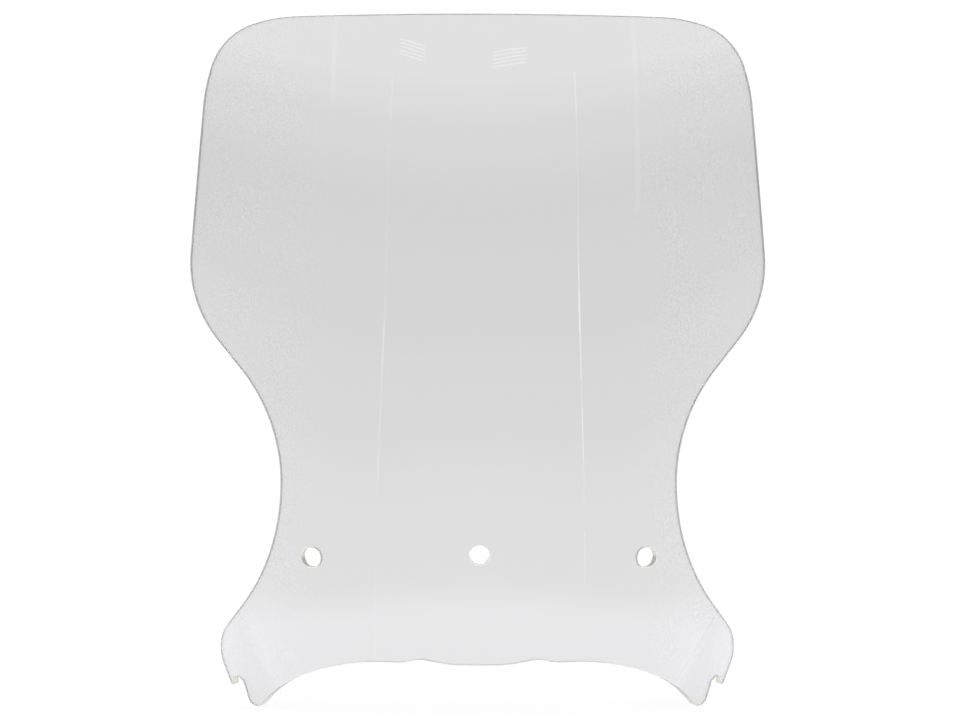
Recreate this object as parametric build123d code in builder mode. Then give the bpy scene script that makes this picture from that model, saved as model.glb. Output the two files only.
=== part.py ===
"""Windshield screen for a touring motorcycle: one clear moulded sheet.

The sheet is convex towards the front (-Y), wide at the top, narrow at the
waist, and ends below in two hooked tabs that are bent further back. Three
open holes in a row take the screws that carry it, and the notch behind each
hook drops over a peg on the fairing. Edges and hole walls are square to the
sheet, as a router leaves them.

Frame: millimetres, +Z up, +X to the right seen from the front. The origin is
the centre of the middle hole's mouth on the front face, and that hole's axis
is Y. The sheet is symmetric about the plane X = 0.
"""

import os

from build123d import *

# Sheet
THICKNESS = 4.5

# Front face, bow across the width: y = square * x^2 + quartic * x^4.
# The foot's bow holds at FOOT_Z and below, the head's at HEAD_Z and above,
# with an even change between them.
FOOT_Z = -60.0
HEAD_Z = 200.0
FOOT_SQUARE = 1.9e-3
FOOT_QUARTIC = 3.6e-8
HEAD_SQUARE = 2.5e-3
HEAD_QUARTIC = 0.0

# Front face, lean up the middle: a steady bow, and a lip near the top edge
LEAN_SQUARE = 3.0e-4
LIP_DEPTH = 6.0
LIP_HEIGHT = 335.0
LIP_POWER = 6

# Tab bend: a straight line across each tab, past which the face turns back
BEND_X = 154.5
BEND_Z = -51.5
BEND_ACROSS = (0.822, -0.571)
BEND_SLOPE = 0.35
BEND_SOFTNESS = 5.0

# The face that the outline is cut from, and the spacing of the stations that
# shape it: fine over the tabs, coarse elsewhere
FACE_HALF_WIDTH = 205.0
FACE_BOTTOM = -126.0
FACE_TOP = 356.0
FINE_OUTSIDE_X = 100.0
FINE_BELOW_Z = -30.0
COARSE_ACROSS = 12.5
FINE_ACROSS = 4.0
COARSE_UP = 12.0
FINE_UP = 5.0

# Outline seen from the front, right half: straight runs between corners, each
# corner given as (x, z, radius of its rounding)
TOP_Z = 336.5
WAIST_X = 126.0
LOBE_Z = -69.5
SIDE_CORNERS = [
    (131.0, TOP_Z, 110.0),  # shoulder, start
    (167.5, 326.5, 41.0),  # shoulder, tightest
    (178.5, 292.0, 110.0),  # shoulder, end
    (190.0, 152.5, 72.0),  # flank foot
    (WAIST_X, 81.5, 104.0),  # waist, from the flank
    (WAIST_X, -3.0, 140.0),  # waist, to the hook
]
HOOK_CORNERS = [
    (173.0, -70.5, 30.0),  # hook back
    (160.0, -100.0, 0.8),  # hook tip
]
NOTCH_CORNERS = [
    (159.5, -92.0, 0.5),
    (156.5, -90.5, 0.5),
    (152.5, -93.0, 0.5),
]
TOE_CORNERS = [
    (146.0, -113.0, 5.0),  # toe tip
    (124.0, -86.0, 64.0),  # toe underside
    (83.5, -69.0, 120.0),  # foot edge
    (47.0, -68.5, 30.0),  # foot of the rise
    (37.0, -66.0, 20.0),  # rise beside the middle lobe
    (18.0, LOBE_Z, 90.0),  # middle lobe
]

# Holes: a round one in the middle, and a level slot towards each side
CENTRE_HOLE_DIAMETER = 12.0
SLOT_X = 106.0
SLOT_Z = -5.0
SLOT_WIDTH = 12.0
SLOT_LENGTH = 14.0

# Tool reach, past the sheet on both sides
DRILL_REACH = 20.0
OUTLINE_REACH = 300.0


def ease(t):
    """Smooth 0 to 1 change, flat at both ends."""
    t = min(max(t, 0.0), 1.0)
    return t * t * (3.0 - 2.0 * t)


def face_y(x, z):
    """Depth of the front face at a point seen from the front."""
    head = ease((z - FOOT_Z) / (HEAD_Z - FOOT_Z))
    square = FOOT_SQUARE + (HEAD_SQUARE - FOOT_SQUARE) * head
    quartic = FOOT_QUARTIC + (HEAD_QUARTIC - FOOT_QUARTIC) * head
    bow = square * x**2 + quartic * x**4
    lean = LEAN_SQUARE * z**2 + LIP_DEPTH * (max(z, 0.0) / LIP_HEIGHT) ** LIP_POWER
    past_bend = (abs(x) - BEND_X) * BEND_ACROSS[0] + (z - BEND_Z) * BEND_ACROSS[1]
    turned = 0.5 * (past_bend + (past_bend**2 + BEND_SOFTNESS**2) ** 0.5)
    return bow + lean + BEND_SLOPE * turned


def face_plane(x, z):
    """Plane on the front face, its x direction level, its normal square to the face."""
    step = 0.05
    along_x = Vector(2 * step, face_y(x + step, z) - face_y(x - step, z), 0)
    along_z = Vector(0, face_y(x, z + step) - face_y(x, z - step), 2 * step)
    return Plane(origin=(x, face_y(x, z), z), x_dir=along_x, z_dir=along_x.cross(along_z))


def stations(start, middle, end, first_step, second_step):
    """Stations from start to end, with one spacing up to middle and one after it."""
    first_count = round((middle - start) / first_step)
    second_count = round((end - middle) / second_step)
    first = [start + (middle - start) * i / first_count for i in range(first_count)]
    second = [middle + (end - middle) * i / second_count for i in range(second_count + 1)]
    return first + second


# The front face is skinned over level sections
right_stations = stations(0.0, FINE_OUTSIDE_X, FACE_HALF_WIDTH, COARSE_ACROSS, FINE_ACROSS)
across = [-x for x in reversed(right_stations[1:])] + right_stations
span = [(x - across[0]) / (across[-1] - across[0]) for x in across]
sections = [
    Wire([Edge.make_spline([(x, face_y(x, z), z) for x in across], parameters=span)])
    for z in stations(FACE_BOTTOM, FINE_BELOW_Z, FACE_TOP, FINE_UP, COARSE_UP)
]
front_face = Shell.make_loft(sections).faces()[0]

# The outline is cut out of it along Y
corners = SIDE_CORNERS + HOOK_CORNERS + NOTCH_CORNERS + TOE_CORNERS
half_outline = [(0.0, TOP_Z), *[(x, z) for x, z, _ in corners], (0.0, LOBE_Z)]
with BuildSketch(Plane.XZ) as outline:
    with BuildLine():
        FilletPolyline(*half_outline, radius=[radius for _, _, radius in corners])
        mirror(about=Plane.YZ)
    make_face()

with BuildPart() as outline_block:
    extrude(outline.sketch, amount=OUTLINE_REACH, both=True)

# The two side slots, square to the face where they stand
with BuildPart() as slot_drills:
    for side in (-1, 1):
        with BuildSketch(face_plane(side * SLOT_X, SLOT_Z)):
            SlotOverall(SLOT_LENGTH, SLOT_WIDTH)
        extrude(amount=DRILL_REACH, both=True)

blank_face = front_face.intersect(outline_block.part)[0]
slotted_face = blank_face.cut(*slot_drills.part.solids()).faces()[0]

# The sheet grows back from its front face
with BuildPart() as screen:
    thicken(slotted_face, amount=-THICKNESS)
    with BuildSketch(Plane.XZ):
        Circle(CENTRE_HOLE_DIAMETER / 2)
    extrude(amount=DRILL_REACH, both=True, mode=Mode.SUBTRACT)

screen.part.label = "screen"

os.makedirs("parts", exist_ok=True)
export_step(screen.part, "parts/screen.step")
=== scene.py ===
"""Clear motorcycle windshield screen on a pale studio floor."""
import math

import bmesh
import bpy
import numpy as np
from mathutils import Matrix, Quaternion, Vector
from mathutils.geometry import delaunay_2d_cdt
from mathutils.kdtree import KDTree


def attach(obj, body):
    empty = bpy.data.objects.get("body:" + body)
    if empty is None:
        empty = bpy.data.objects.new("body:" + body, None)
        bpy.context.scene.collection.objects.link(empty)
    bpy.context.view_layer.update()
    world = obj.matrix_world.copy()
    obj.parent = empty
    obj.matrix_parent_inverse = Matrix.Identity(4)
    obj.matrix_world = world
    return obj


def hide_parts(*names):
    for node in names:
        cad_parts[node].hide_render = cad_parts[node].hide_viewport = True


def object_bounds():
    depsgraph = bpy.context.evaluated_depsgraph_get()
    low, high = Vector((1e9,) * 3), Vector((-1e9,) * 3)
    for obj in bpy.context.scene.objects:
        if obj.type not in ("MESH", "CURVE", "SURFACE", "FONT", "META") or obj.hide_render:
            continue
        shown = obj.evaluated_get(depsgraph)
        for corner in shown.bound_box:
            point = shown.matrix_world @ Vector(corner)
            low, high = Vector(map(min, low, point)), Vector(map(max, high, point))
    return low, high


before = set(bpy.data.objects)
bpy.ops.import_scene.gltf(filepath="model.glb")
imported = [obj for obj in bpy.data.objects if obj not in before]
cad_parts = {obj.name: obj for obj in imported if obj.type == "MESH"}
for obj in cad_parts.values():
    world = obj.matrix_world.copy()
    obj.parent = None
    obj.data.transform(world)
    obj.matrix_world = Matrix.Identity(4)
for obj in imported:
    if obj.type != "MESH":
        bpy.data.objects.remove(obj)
cad_lo, cad_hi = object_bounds()

# ---------------------------------------------------------------- the sheet, in millimetres
MM_PER_METRE = 1000.0
THICKNESS = 4.5
EDGE_RADIUS = 0.55
EDGE_STEPS = 4

# Front face: a bow across the width that changes from foot to head, a lean with a lip at
# the top, a bend across each tab, and a fine groove along that bend
FOOT_Z, HEAD_Z = -60.0, 200.0
FOOT_SQUARE, FOOT_QUARTIC = 1.9e-3, 3.6e-8
HEAD_SQUARE, HEAD_QUARTIC = 2.5e-3, 0.0
LEAN_SQUARE = 3.0e-4
LIP_DEPTH, LIP_HEIGHT, LIP_POWER = 6.0, 335.0, 6
BEND_X, BEND_Z = 154.5, -51.5
BEND_ACROSS = (0.822, -0.571)
BEND_SLOPE = 0.35
BEND_SOFTNESS = 2.4
GROOVE_DEPTH, GROOVE_SPREAD = 0.2, 0.8

# Outline seen from the front, right half: straight runs between corners, each corner
# given as (x, z, radius of its rounding)
TOP_Z = 336.5
WAIST_X = 126.0
LOBE_Z = -69.5
SIDE_CORNERS = [
    (131.0, TOP_Z, 110.0),  # shoulder, start
    (167.5, 326.5, 41.0),  # shoulder, tightest
    (178.5, 292.0, 110.0),  # shoulder, end
    (190.0, 152.5, 72.0),  # flank foot
    (WAIST_X, 81.5, 104.0),  # waist, from the flank
    (WAIST_X, -3.0, 140.0),  # waist, to the hook
]
HOOK_CORNERS = [
    (173.0, -70.5, 30.0),  # hook back
    (160.0, -100.0, 0.8),  # hook tip
]
NOTCH_CORNERS = [
    (159.5, -92.0, 0.5),
    (156.5, -90.5, 0.5),
    (152.5, -93.0, 0.5),
]
TOE_CORNERS = [
    (146.0, -113.0, 5.0),  # toe tip
    (124.0, -86.0, 64.0),  # toe underside
    (83.5, -69.0, 120.0),  # foot edge
    (47.0, -68.5, 30.0),  # foot of the rise
    (37.0, -66.0, 20.0),  # rise beside the middle lobe
    (18.0, LOBE_Z, 90.0),  # middle lobe
]

# Holes: a round one in the middle, and a level slot towards each side
CENTRE_HOLE_RADIUS = 6.0
SLOT_AT = (106.0, -5.0)
SLOT_WIDTH, SLOT_LENGTH = 12.0, 14.0
HOLE_STEPS = 72

# Spacing of the points along the rims
SPACING_PER_RADIUS = 0.16
FINEST_SPACING = 0.35
COARSEST_SPACING = 2.0

# Small steps: into the sheet to test a rim's side, along the face for its slope, and the
# distance under which points are one
PROBE = 0.2
SLOPE_STEP = 0.02
MERGE_DISTANCE = 1e-4

# The triangulation's way of working in which it leaves out what lies outside its edges
INSIDE_EDGES = 1

# Points inside the sheet: a square grid that keeps clear of the rims and the bends, and
# rows along each bend, at these distances from it
GRID = 3.0
GRID_HALF_WIDTH = 198.0
GRID_BOTTOM, GRID_TOP = -114.0, 345.0
GRID_MARGIN = 1.4
BEND_CLEARANCE = 6.0
BEND_TOP_Z = -30.0
BEND_ROW_START, BEND_ROW_END, BEND_ROW_STEP = -75.0, 30.0, 2.0
BEND_ROWS = (-4.8, -3.4, -2.4, -1.7, -1.2, -0.8, -0.4, 0.0, 0.4, 0.8, 1.2, 1.7, 2.4, 3.4, 4.8)


def ease(t):
    """Smooth 0 to 1 change, flat at both ends."""
    t = np.clip(t, 0.0, 1.0)
    return t * t * (3.0 - 2.0 * t)


def past_bend(x, z):
    """Distance past the tab bend's line, on either side of the sheet."""
    return (np.abs(x) - BEND_X) * BEND_ACROSS[0] + (z - BEND_Z) * BEND_ACROSS[1]


def face_y(x, z):
    """Depth of the front face."""
    head = ease((z - FOOT_Z) / (HEAD_Z - FOOT_Z))
    square = FOOT_SQUARE + (HEAD_SQUARE - FOOT_SQUARE) * head
    quartic = FOOT_QUARTIC + (HEAD_QUARTIC - FOOT_QUARTIC) * head
    bow = square * x**2 + quartic * x**4
    lean = LEAN_SQUARE * z**2 + LIP_DEPTH * (np.maximum(z, 0.0) / LIP_HEIGHT) ** LIP_POWER
    past = past_bend(x, z)
    turned = 0.5 * (past + np.hypot(past, BEND_SOFTNESS))
    groove = GROOVE_DEPTH * np.exp(-((past / GROOVE_SPREAD) ** 2))
    return bow + lean + BEND_SLOPE * turned + groove


def slopes(x, z):
    """The front face's slope across and up."""
    across = (face_y(x + SLOPE_STEP, z) - face_y(x - SLOPE_STEP, z)) / (2 * SLOPE_STEP)
    up = (face_y(x, z + SLOPE_STEP) - face_y(x, z - SLOPE_STEP)) / (2 * SLOPE_STEP)
    return across, up


def on_face(xz):
    """Points on the front face, and the unit normals out of it."""
    x, z = xz[:, 0], xz[:, 1]
    across, up = slopes(x, z)
    normal = np.stack([across, -np.ones_like(x), up], 1)
    normal /= np.linalg.norm(normal, axis=1)[:, None]
    return np.stack([x, face_y(x, z), z], 1), normal


def rounded(start, corners, end):
    """Points from start to end along straight runs, with each corner turned on its radius."""
    places = [np.array(start), *[np.array(corner[:2]) for corner in corners], np.array(end)]
    path = [places[0]]
    for before, corner, after, (_, _, radius) in zip(places, places[1:], places[2:], corners):
        into = (corner - before) / np.linalg.norm(corner - before)
        out = (after - corner) / np.linalg.norm(after - corner)
        turn = math.acos(into @ out)
        side = out - into * (into @ out)
        side /= np.linalg.norm(side)
        centre = corner - into * radius * math.tan(turn / 2) + side * radius
        spacing = min(max(SPACING_PER_RADIUS * radius, FINEST_SPACING), COARSEST_SPACING)
        steps = max(2, math.ceil(turn * radius / spacing))
        for angle in np.linspace(0.0, turn, steps + 1):
            path.append(centre - side * radius * math.cos(angle) + into * radius * math.sin(angle))
    path.append(places[-1])
    return path


def divided(path):
    """The same path with its long runs divided into equal steps."""
    points = []
    for a, b in zip(path, path[1:]):
        steps = max(1, math.ceil(np.linalg.norm(b - a) / COARSEST_SPACING))
        points += [a + (b - a) * step / steps for step in range(steps)]
    return np.array([*points, path[-1]])


def outline_loop():
    """The whole outline, clockwise seen from the front, from the top centre."""
    corners = SIDE_CORNERS + HOOK_CORNERS + NOTCH_CORNERS + TOE_CORNERS
    right = divided(rounded((0.0, TOP_Z), corners, (0.0, LOBE_Z)))
    left = right[-2:0:-1] * (-1, 1)
    return np.vstack([right, left])


def hole_loop(at, radius, half_run):
    """A round hole or level slot, laid on the face's plane at its centre."""
    centre, normal = on_face(np.array([at]))
    n = normal[0]
    level = np.array([-n[1], n[0], 0.0])
    level /= np.linalg.norm(level)
    rise = np.cross(level, n)
    turn = np.linspace(0, 2 * math.pi, HOLE_STEPS, endpoint=False)
    across = radius * np.cos(turn)
    across += np.sign(across) * half_run
    up = radius * np.sin(turn)
    loop = centre[0] + across[:, None] * level + up[:, None] * rise
    return loop[:, [0, 2]]


def inside(points, loop):
    """Which of the points lie inside a closed loop."""
    x, z = points[:, 0][:, None], points[:, 1][:, None]
    a, b = loop, np.roll(loop, -1, axis=0)
    spans = (a[:, 1] > z) != (b[:, 1] > z)
    # a level side spans no point, so its rise only has to differ from 0
    rise = np.where(b[:, 1] == a[:, 1], 1.0, b[:, 1] - a[:, 1])
    crossing = a[:, 0] + (z - a[:, 1]) / rise * (b[:, 0] - a[:, 0])
    return ((spans & (x < crossing)).sum(1) % 2).astype(bool)


def rim_frames(loop, sheet_inside):
    """For each point of a loop: place, normal and the direction into the sheet."""
    place, normal = on_face(loop)
    along = np.roll(place, -1, axis=0) - np.roll(place, 1, axis=0)
    along /= np.linalg.norm(along, axis=1)[:, None]
    inward = np.cross(normal, along)
    inward /= np.linalg.norm(inward, axis=1)[:, None]
    # the sheet is inside the outline, and outside each hole
    if (inside(loop + PROBE * inward[:, [0, 2]], loop).mean() > 0.5) != sheet_inside:
        inward = -inward
    return place, normal, inward


def rim_profile():
    """The rounded rim, from the front face to the back one, as (inset, depth, normal's
    share out of the front face, normal's share out of the rim)."""
    front = []
    for i in range(EDGE_STEPS + 1):
        out, side = math.cos(math.pi / 2 * i / EDGE_STEPS), math.sin(math.pi / 2 * i / EDGE_STEPS)
        front.append((EDGE_RADIUS * (1 - side), EDGE_RADIUS * (1 - out), out, side))
    middle = [(0.0, THICKNESS / 2, 0.0, 1.0)]
    back = [(inset, THICKNESS - depth, -out, side) for inset, depth, out, side in reversed(front)]
    return front + middle + back


def rim_loops():
    """Every rim's loop, and whether the sheet is inside it."""
    half_run = (SLOT_LENGTH - SLOT_WIDTH) / 2
    loops = [(outline_loop(), True), (hole_loop((0.0, 0.0), CENTRE_HOLE_RADIUS, 0.0), False)]
    for side in (-1, 1):
        at = (side * SLOT_AT[0], SLOT_AT[1])
        loops.append((hole_loop(at, SLOT_WIDTH / 2, half_run), False))
    return loops


def rim_rings(loop, sheet_inside):
    """A rim's rings of points and normals, from the front face to the back one."""
    place, normal, inward = rim_frames(loop, sheet_inside)
    return [(place + inward * inset - normal * depth, normal * out - inward * side)
            for inset, depth, out, side in rim_profile()]


def in_sheet(points, flat_rims):
    """Which of the points lie inside the outline and outside every hole."""
    keep = inside(points, flat_rims[0])
    for rim in flat_rims[1:]:
        keep &= ~inside(points, rim)
    return keep


def inner_points(flat_rims):
    """Points inside the sheet: the grid, and rows along each tab bend."""
    xs = np.arange(-GRID_HALF_WIDTH, GRID_HALF_WIDTH + GRID / 2, GRID)
    zs = np.arange(GRID_BOTTOM, GRID_TOP + GRID / 2, GRID)
    grid = np.stack(np.meshgrid(xs, zs), -1).reshape(-1, 2)
    past = past_bend(grid[:, 0], grid[:, 1])
    grid = grid[(np.abs(past) > BEND_CLEARANCE) | (grid[:, 1] > BEND_TOP_Z)]
    along = np.array([-BEND_ACROSS[1], BEND_ACROSS[0]])
    run = np.arange(BEND_ROW_START, BEND_ROW_END, BEND_ROW_STEP)[:, None]
    middle_row = np.array([BEND_X, BEND_Z]) + run * along
    rows = np.vstack([middle_row + off * np.array(BEND_ACROSS) for off in BEND_ROWS])
    grid = np.vstack([grid, rows, rows * np.array([-1.0, 1.0])])
    grid = grid[in_sheet(grid, flat_rims)]
    tree = KDTree(sum(len(rim) for rim in flat_rims))
    for i, p in enumerate(np.vstack(flat_rims)):
        tree.insert((p[0], p[1], 0.0), i)
    tree.balance()
    return grid[[tree.find((p[0], p[1], 0.0))[2] > GRID_MARGIN for p in grid]]


def triangulated(flat_rims):
    """The sheet seen from the front as points and triangles, and where each rim point went."""
    flat = np.vstack([*flat_rims, inner_points(flat_rims)])
    edges, start = [], 0
    for rim in flat_rims:
        n = len(rim)
        edges += [(start + i, start + (i + 1) % n) for i in range(n)]
        start += n
    got = delaunay_2d_cdt([Vector(p) for p in flat], edges, [], INSIDE_EDGES, MERGE_DISTANCE)
    verts, faces, ids = np.array([tuple(v) for v in got[0]]), got[2], got[3]
    where = {old: new for new, olds in enumerate(ids) for old in olds}
    tri = np.array(faces)
    tri = tri[in_sheet(verts[tri].mean(1), flat_rims)]
    a, b, c = verts[tri[:, 0]], verts[tri[:, 1]], verts[tri[:, 2]]
    area = (b[:, 0] - a[:, 0]) * (c[:, 1] - a[:, 1]) - (b[:, 1] - a[:, 1]) * (c[:, 0] - a[:, 0])
    tri[area < 0] = tri[area < 0][:, ::-1]
    used = np.unique(tri)
    renumbered = {old: new for new, old in enumerate(used.tolist())}
    where = {old: renumbered[new] for old, new in where.items() if new in renumbered}
    return verts[used], np.vectorize(renumbered.get)(tri), where


def with_materials_and_normals(mesh, face_count, rim_count, normals):
    """Give the faces slot 0 and the rims slot 1, turn them outwards and set smooth normals."""
    mesh.polygons.foreach_set("material_index", [0] * face_count + [1] * rim_count)
    mesh.polygons.foreach_set("use_smooth", [True] * (face_count + rim_count))
    bm = bmesh.new()
    bm.from_mesh(mesh)
    bmesh.ops.recalc_face_normals(bm, faces=bm.faces)
    bm.to_mesh(mesh)
    bm.free()
    mesh.normals_split_custom_set_from_vertices(normals.tolist())


def build_sheet():
    """The whole sheet as one closed mesh: front face, back face and a rounded rim each."""
    rims = [rim_rings(loop, sheet_inside) for loop, sheet_inside in rim_loops()]
    verts, tri, where = triangulated([rim[0][0][:, [0, 2]] for rim in rims])
    place, normal = on_face(verts)
    count = len(verts)
    points = [place, place - normal * THICKNESS]
    normals = [normal, -normal]
    polygons = [tuple(t) for t in tri] + [tuple(int(i) + count for i in t[::-1]) for t in tri]
    total, start = 2 * count, 0
    for rim in rims:
        n = len(rim[0][0])
        first = [where[start + i] for i in range(n)]
        rings = [first]
        for ring, ring_normals in rim[1:-1]:
            points.append(ring)
            normals.append(ring_normals)
            rings.append(list(range(total, total + n)))
            total += n
        rings.append([i + count for i in first])
        for upper, lower in zip(rings, rings[1:]):
            polygons += [(upper[i], upper[(i + 1) % n], lower[(i + 1) % n], lower[i]) for i in range(n)]
        start += n
    mesh = bpy.data.meshes.new("screen_sheet")
    mesh.from_pydata((np.vstack(points) / MM_PER_METRE).tolist(), [], polygons)
    with_materials_and_normals(mesh, 2 * len(tri), len(polygons) - 2 * len(tri), np.vstack(normals))
    return mesh


mesh = build_sheet()
sheet = bpy.data.objects.new("screen_sheet", mesh)
bpy.context.scene.collection.objects.link(sheet)
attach(sheet, "root")
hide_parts("screen")

# ---------------------------------------------------------------- materials
IOR = 1.585
# The sheet itself is clear: this grey is painted shade, standing in for the dimmer surroundings seen
# through it
PAINTED_SHADE_GREY = (0.654, 0.652, 0.656)

# Mottle of the faces, a fine ripple with a painted speckle of reflections laid on it as colour: the
# depth of that painted speckle, the height of the ripple, and the distances from the middle where it
# begins and is full, both in metres
PAINTED_SPECKLE_DEPTH = 0.4
RIPPLE_HEIGHT = 0.00002
MOTTLE_FROM, MOTTLE_FULL = 0.085, 0.125
# It is a fine grain, stronger in patches: between two levels of a broad noise it rises from
# a share that is there everywhere to its full strength
GRAIN_SCALE, PATCH_SCALE = 760.0, 26.0
PATCH_LOW, PATCH_HIGH, PATCH_FLOOR = 0.35, 0.65, 0.35

# Routed edge, and its cutter marks, with their height in metres
EDGE_TINT = (0.95, 0.96, 0.87)
EDGE_CLARITY = 0.6
EDGE_ROUGHNESS = 0.35
MARK_SCALE, MARK_SHADE, MARK_HEIGHT = 900.0, 0.16, 0.00004


class Nodes:
    """One material's node tree, with short ways to add and link nodes."""

    def __init__(self, name):
        self.material = bpy.data.materials.new(name)
        self.material.use_nodes = True
        self.tree = self.material.node_tree
        self.shader = self.tree.nodes["Principled BSDF"]

    def add(self, kind, links=(), **settings):
        made = self.tree.nodes.new(kind)
        for key, value in settings.items():
            if key in made.inputs:
                made.inputs[key].default_value = value
            else:
                setattr(made, key, value)
        for source, target in links:
            self.tree.links.new(source, made.inputs[target])
        return made.outputs[0]

    def maths(self, operation, *terms):
        made = self.tree.nodes.new("ShaderNodeMath")
        made.operation = operation
        for socket, term in zip(made.inputs, terms):
            if isinstance(term, float):
                socket.default_value = term
            else:
                self.tree.links.new(term, socket)
        return made.outputs[0]

    def set(self, **values):
        for key, value in values.items():
            self.shader.inputs[key.replace("_", " ")].default_value = value


def smooth_between(nodes, value, low, high):
    """0 up to the low value and 1 from the high one, with a smooth change between."""
    made = nodes.tree.nodes.new("ShaderNodeMapRange")
    made.interpolation_type = "SMOOTHSTEP"
    made.inputs["From Min"].default_value = low
    made.inputs["From Max"].default_value = high
    nodes.tree.links.new(value, made.inputs["Value"])
    return made.outputs[0]


def clear_material():
    """Clear gloss polycarbonate, greyed as painted shade for the dimmer surroundings seen through it;
    towards both sides a fine ripple with a painted speckle of reflections.
    """
    nodes = Nodes("clear_sheet")
    nodes.set(Transmission_Weight=1.0, IOR=IOR, Roughness=0.0)
    place = nodes.tree.nodes.new("ShaderNodeTexCoord").outputs["Object"]
    apart = nodes.tree.nodes.new("ShaderNodeSeparateXYZ")
    nodes.tree.links.new(place, apart.inputs[0])
    from_middle = nodes.maths("ABSOLUTE", apart.outputs["X"])
    outboard = smooth_between(nodes, from_middle, MOTTLE_FROM, MOTTLE_FULL)
    grain = nodes.add("ShaderNodeTexNoise", [(place, "Vector")], Scale=GRAIN_SCALE, Detail=1.0)
    broad = nodes.add("ShaderNodeTexNoise", [(place, "Vector")], Scale=PATCH_SCALE, Detail=1.0)
    patchy = smooth_between(nodes, broad, PATCH_LOW, PATCH_HIGH)
    patches = nodes.maths("MULTIPLY_ADD", patchy, 1.0 - PATCH_FLOOR, PATCH_FLOOR)
    amount = nodes.maths("MULTIPLY", outboard, patches)
    ripple = nodes.maths("MULTIPLY", nodes.maths("SUBTRACT", grain, 0.5), amount)
    # painted speckle of reflections: the ripple lightens and darkens the colour, as reflections off a
    # rippled surface would
    shade = nodes.maths("MULTIPLY_ADD", ripple, PAINTED_SPECKLE_DEPTH, 1.0)
    # painted shade: the grey for the dimmer surroundings seen through the sheet, scaled by the painted
    # speckle of reflections
    cast = nodes.tree.nodes.new("ShaderNodeCombineColor")
    for channel, tint in zip(cast.inputs, PAINTED_SHADE_GREY):
        nodes.tree.links.new(nodes.maths("MULTIPLY", shade, tint), channel)
    nodes.tree.links.new(cast.outputs[0], nodes.shader.inputs["Base Color"])
    bump = nodes.add("ShaderNodeBump", [(ripple, "Height")], Distance=RIPPLE_HEIGHT)
    nodes.tree.links.new(bump, nodes.shader.inputs["Normal"])
    return nodes.material


def edge_material():
    """The routed edge: satin, a little yellow-green, with fine cutter marks."""
    nodes = Nodes("routed_edge")
    nodes.set(Transmission_Weight=EDGE_CLARITY, IOR=IOR, Roughness=EDGE_ROUGHNESS)
    place = nodes.tree.nodes.new("ShaderNodeTexCoord").outputs["Object"]
    marks = nodes.add("ShaderNodeTexNoise", [(place, "Vector")], Scale=MARK_SCALE, Detail=2.0)
    shade = nodes.maths("MULTIPLY_ADD", marks, MARK_SHADE, 1.0 - MARK_SHADE / 2)
    cast = nodes.tree.nodes.new("ShaderNodeCombineColor")
    for channel, tint in zip(cast.inputs, EDGE_TINT):
        nodes.tree.links.new(nodes.maths("MULTIPLY", shade, tint), channel)
    nodes.tree.links.new(cast.outputs[0], nodes.shader.inputs["Base Color"])
    bump = nodes.add("ShaderNodeBump", [(marks, "Height")], Distance=MARK_HEIGHT)
    nodes.tree.links.new(bump, nodes.shader.inputs["Normal"])
    return nodes.material


mesh.materials.append(clear_material())
mesh.materials.append(edge_material())

# ---------------------------------------------------------------- stage, in metres
# Brightness of the surroundings, and the part of the floor's that comes from light on it
WHITE = 1.05
FLOOR_BASE = 0.25

# Floor: its gap below the screen, where it stops being flat, the radius of its curve up,
# and the height of the wall
FLOOR_GAP = 0.0005
COVE_FLAT, COVE_BEND, COVE_WALL = 2.6, 1.0, 3.0
COVE_STEPS = 16
FLOOR_RINGS = (0.001, 0.5, 1.5)
FLOOR_SEGMENTS = 96

scene = bpy.context.scene
scene.view_settings.view_transform = "Standard"


def make_world():
    """Even white light from all round."""
    world = bpy.data.worlds.new("studio")
    world.use_nodes = True
    scene.world = world
    background = world.node_tree.nodes["Background"]
    background.inputs["Color"].default_value = (1, 1, 1, 1)
    background.inputs["Strength"].default_value = WHITE


def turned_mesh(profile, segments):
    """Vertices and faces of a profile of (radius, height) turned about Z."""
    verts = [(r * math.cos(2 * math.pi * k / segments), r * math.sin(2 * math.pi * k / segments), z)
             for r, z in profile for k in range(segments)]
    faces = [(i * segments + k, i * segments + (k + 1) % segments,
              (i + 1) * segments + (k + 1) % segments, (i + 1) * segments + k)
             for i in range(len(profile) - 1) for k in range(segments)]
    return verts, faces


def stage_piece(name, verts, faces, material):
    """A smooth piece of the stage."""
    made = bpy.data.meshes.new(name)
    made.from_pydata(verts, [], faces)
    made.materials.append(material)
    for face in made.polygons:
        face.use_smooth = True
    obj = bpy.data.objects.new(name, made)
    scene.collection.objects.link(obj)
    return obj


def only_in_reflections(obj):
    """Let a piece show in glossy reflections and nowhere else."""
    obj.visible_camera = False
    obj.visible_transmission = False
    obj.visible_diffuse = False
    obj.visible_shadow = False
    obj.visible_volume_scatter = False


def glow(name, strength):
    """Light that is added to whatever lies behind it."""
    made = bpy.data.materials.new(name)
    made.use_nodes = True
    tree = made.node_tree
    tree.nodes.remove(tree.nodes["Principled BSDF"])
    emission = tree.nodes.new("ShaderNodeEmission")
    emission.inputs["Strength"].default_value = strength
    both = tree.nodes.new("ShaderNodeAddShader")
    tree.links.new(emission.outputs[0], both.inputs[0])
    tree.links.new(tree.nodes.new("ShaderNodeBsdfTransparent").outputs[0], both.inputs[1])
    tree.links.new(both.outputs[0], tree.nodes["Material Output"].inputs["Surface"])
    return made


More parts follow.
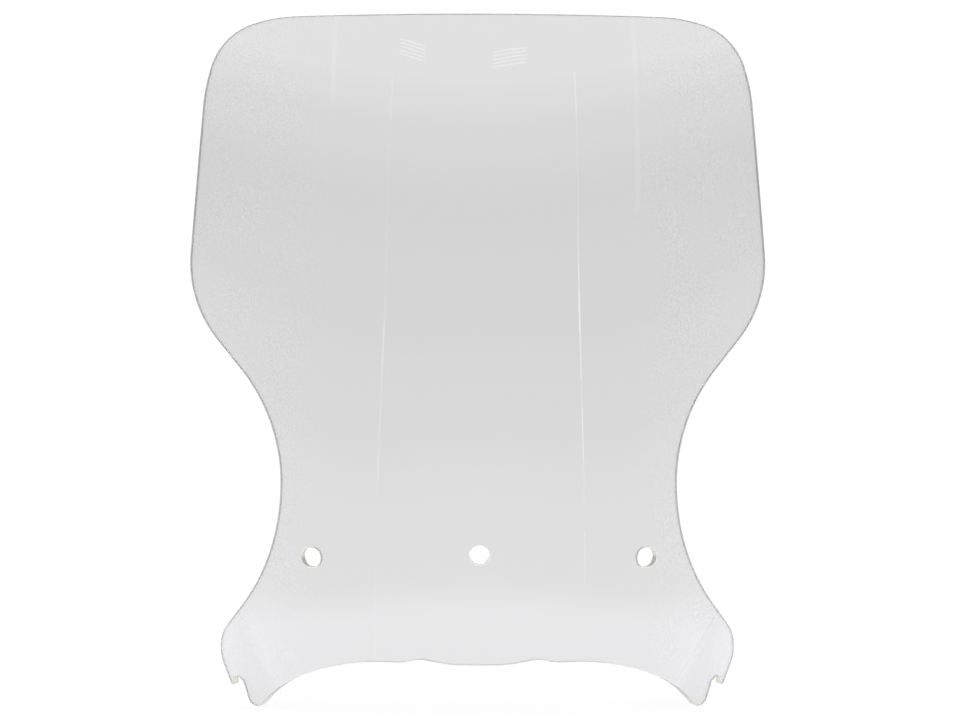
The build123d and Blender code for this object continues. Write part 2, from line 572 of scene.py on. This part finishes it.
def make_floor():
    """A pale floor, curving up all round into a wall of the same brightness."""
    nodes = Nodes("floor")
    nodes.set(Base_Color=(FLOOR_BASE, FLOOR_BASE, FLOOR_BASE, 1), Roughness=1.0, Specular_IOR_Level=0.0,
              Emission_Color=(1, 1, 1, 1), Emission_Strength=WHITE * (1.0 - FLOOR_BASE))
    profile = [(radius, 0.0) for radius in FLOOR_RINGS]
    for i in range(COVE_STEPS + 1):
        turn = math.pi / 2 * i / COVE_STEPS
        profile.append((COVE_FLAT + COVE_BEND * math.sin(turn), COVE_BEND * (1 - math.cos(turn))))
    profile.append((COVE_FLAT + COVE_BEND, COVE_WALL))
    cove = stage_piece("floor", *turned_mesh(profile, FLOOR_SEGMENTS), nodes.material)
    cove.location.z = cad_lo.z - FLOOR_GAP
    cove.visible_glossy = False


make_world()
make_floor()

# What the gloss reflects: a room with a bright ceiling and a bright table, dark between,
# given as elevation in degrees and brightness. Low down it has a faint tint, and behind the
# screen it is dimmer
ROOM_RADIUS = 3.0
ROOM_CENTRE_Z = 0.12
ROOM_PEAK = 4.0
ROOM_STOPS = [(-50, 0.8), (-30, 2.6), (-20, 3.4), (-15, 3.3), (-11.5, 1.95), (-8, 1.7), (2, 0.85),
              (8, 0.4), (17, 0.1), (25, 0.8), (29.5, 1.4), (33, 2.0), (45, 2.1)]
ROOM_TINT_LOW = (0.985, 0.965, 1.02)
ROOM_TINT_BELOW = -10
ROOM_REAR_SHARE = 0.62
ROOM_REAR_FROM = 0.4
ROOM_STEPS = 32
ROOM_SEGMENTS = 64


def fill_room_ramp(ramp):
    """Set the stops of brightness against height."""
    ramp.color_ramp.interpolation = "EASE"
    stops = ramp.color_ramp.elements
    last = len(ROOM_STOPS) - 1
    for i, (angle, level) in enumerate(ROOM_STOPS):
        at = 0.5 + 0.5 * math.sin(math.radians(angle))
        stop = stops.new(at) if 0 < i < last else stops[0 if i == 0 else -1]
        stop.position = at
        tint = ROOM_TINT_LOW if angle < ROOM_TINT_BELOW else (1.0, 1.0, 1.0)
        stop.color = (*(min(1.0, level / ROOM_PEAK * t) for t in tint), 1)


def room_material():
    """Light that changes with height, and is dimmer behind the screen."""
    nodes = Nodes("room")
    tree = nodes.tree
    tree.nodes.remove(nodes.shader)
    emission = tree.nodes.new("ShaderNodeEmission")
    tree.links.new(emission.outputs[0], tree.nodes["Material Output"].inputs["Surface"])
    where = tree.nodes.new("ShaderNodeTexCoord")
    split = tree.nodes.new("ShaderNodeSeparateXYZ")
    tree.links.new(where.outputs["Object"], split.inputs[0])
    height = tree.nodes.new("ShaderNodeMapRange")
    height.inputs["From Min"].default_value = -ROOM_RADIUS
    height.inputs["From Max"].default_value = ROOM_RADIUS
    ramp = tree.nodes.new("ShaderNodeValToRGB")
    fill_room_ramp(ramp)
    behind = tree.nodes.new("ShaderNodeMapRange")
    behind.interpolation_type = "SMOOTHSTEP"
    behind.inputs["From Min"].default_value = 0.0
    behind.inputs["From Max"].default_value = ROOM_REAR_FROM * ROOM_RADIUS
    behind.inputs["To Min"].default_value = ROOM_PEAK
    behind.inputs["To Max"].default_value = ROOM_REAR_SHARE * ROOM_PEAK
    # above the horizon the bands bend down towards the sides, so that they cross the curved
    # gloss level
    side_bend = nodes.maths("MULTIPLY_ADD", split.outputs["Y"], -0.5 / ROOM_RADIUS, 0.5)
    side_bend = nodes.maths("SQRT", side_bend)
    raised = nodes.maths("DIVIDE", nodes.maths("MAXIMUM", split.outputs["Z"], 0.0), side_bend)
    lowered = nodes.maths("MINIMUM", split.outputs["Z"], 0.0)
    tree.links.new(nodes.maths("ADD", raised, lowered), height.inputs["Value"])
    tree.links.new(split.outputs["Y"], behind.inputs["Value"])
    tree.links.new(height.outputs[0], ramp.inputs["Fac"])
    tree.links.new(ramp.outputs["Color"], emission.inputs["Color"])
    tree.links.new(behind.outputs[0], emission.inputs["Strength"])
    return nodes.material


def make_room():
    """The reflected room, a sphere round the screen."""
    turns = [math.pi * (i / ROOM_STEPS - 0.5) for i in range(ROOM_STEPS + 1)]
    profile = [(ROOM_RADIUS * math.cos(a), ROOM_RADIUS * math.sin(a)) for a in turns]
    room = stage_piece("room", *turned_mesh(profile, ROOM_SEGMENTS), room_material())
    room.location.z = ROOM_CENTRE_Z
    only_in_reflections(room)


make_room()

# Lamps that show only as streaks and glints in the gloss, with their angles in degrees. A
# streak's runs are given as lowest and highest elevation, and brightness
LAMP_REACH = 2.6
LEFT_AZIMUTH, LEFT_WIDTH = -35.2, 0.55
RIGHT_AZIMUTH, RIGHT_LEAN, RIGHT_WIDTH = 37.9, 0.07, 0.5
LEFT_STREAK = [(-19, -11, 0.4), (-5, 1, 0.9), (1, 4, 0.8), (4, 7, 1.7), (7, 9, 1.0), (9, 12, 0.4),
               (12, 15, 0.7), (15, 25, 0.3), (25, 30, 0.8)]
RIGHT_STREAK = [(-12, -8, 1.2), (-6, -3, 0.7), (-3, 1, 2.0), (1, 3, 0.9), (3, 6, 2.4), (6, 9, 3.6),
                (9, 12, 2.2), (12, 17, 1.3), (17, 25, 0.8), (25, 30, 1.5)]
# faint broad bands, as azimuth at foot and head, width, lowest and highest elevation, and
# brightness
BROAD_BANDS = [(-56.3, -59.0, 1.6, 24, 37, 0.45), (59.6, 64.4, 1.6, 13, 37, 0.45)]
# striped glints near the top, as azimuth and width, then the number of their bars, the
# lowest one's elevation, their pitch, their height and their brightness
GLINTS = [(-27.9, 10.2), (13.8, 14.5)]
GLINT_BARS, GLINT_FOOT, GLINT_PITCH, GLINT_BAR, GLINT_BRIGHTNESS = 5, 33.4, 0.55, 0.2, 1.6


def lamp_patches():
    """Every lamp as azimuth at its foot and head, width, elevations and brightness."""
    patches = [(LEFT_AZIMUTH, LEFT_AZIMUTH, LEFT_WIDTH, *run) for run in LEFT_STREAK]
    for low, high, brightness in RIGHT_STREAK:
        foot, head = RIGHT_AZIMUTH + RIGHT_LEAN * low, RIGHT_AZIMUTH + RIGHT_LEAN * high
        patches.append((foot, head, RIGHT_WIDTH, low, high, brightness))
    patches += BROAD_BANDS
    for azimuth, width in GLINTS:
        for bar in range(GLINT_BARS):
            low = GLINT_FOOT + GLINT_PITCH * bar
            patches.append((azimuth, azimuth, width, low, low + GLINT_BAR, GLINT_BRIGHTNESS))
    return patches


def in_direction(azimuth, elevation):
    """The place at the lamps' reach in a direction given in degrees."""
    turn, up = math.radians(azimuth), math.radians(elevation)
    return (LAMP_REACH * math.cos(up) * math.sin(turn), -LAMP_REACH * math.cos(up) * math.cos(turn),
            ROOM_CENTRE_Z + LAMP_REACH * math.sin(up))


def make_lamps():
    """One small bright patch for each lamp."""
    for number, (foot, head, width, low, high, brightness) in enumerate(lamp_patches()):
        corners = [in_direction(foot - width / 2, low), in_direction(foot + width / 2, low),
                   in_direction(head + width / 2, high), in_direction(head - width / 2, high)]
        lamp = stage_piece(f"lamp_{number}", corners, [(0, 1, 2, 3)], glow(f"lamp_{number}", brightness))
        only_in_reflections(lamp)


make_lamps()

# ---------------------------------------------------------------- camera, in metres
ELEVATION, AZIMUTH, ROLL = math.radians(4.0), math.radians(-0.74), math.radians(0.1)
DISTANCE = 1.7
FOCAL_LENGTH = 101.2  # millimetres
TARGET = Vector((0.0005, 0.035, 0.119))


def make_camera():
    """The camera, given by the direction back from the target and its distance."""
    made = bpy.data.cameras.new("camera")
    made.lens = FOCAL_LENGTH
    camera = bpy.data.objects.new("camera", made)
    scene.collection.objects.link(camera)
    back = Vector((math.sin(AZIMUTH) * math.cos(ELEVATION), -math.cos(AZIMUTH) * math.cos(ELEVATION),
                   math.sin(ELEVATION)))
    camera.location = TARGET + back * DISTANCE
    camera.rotation_mode = "QUATERNION"
    camera.rotation_quaternion = (-back).to_track_quat("-Z", "Y") @ Quaternion((0, 0, 1), ROLL)
    scene.camera = camera


make_camera()
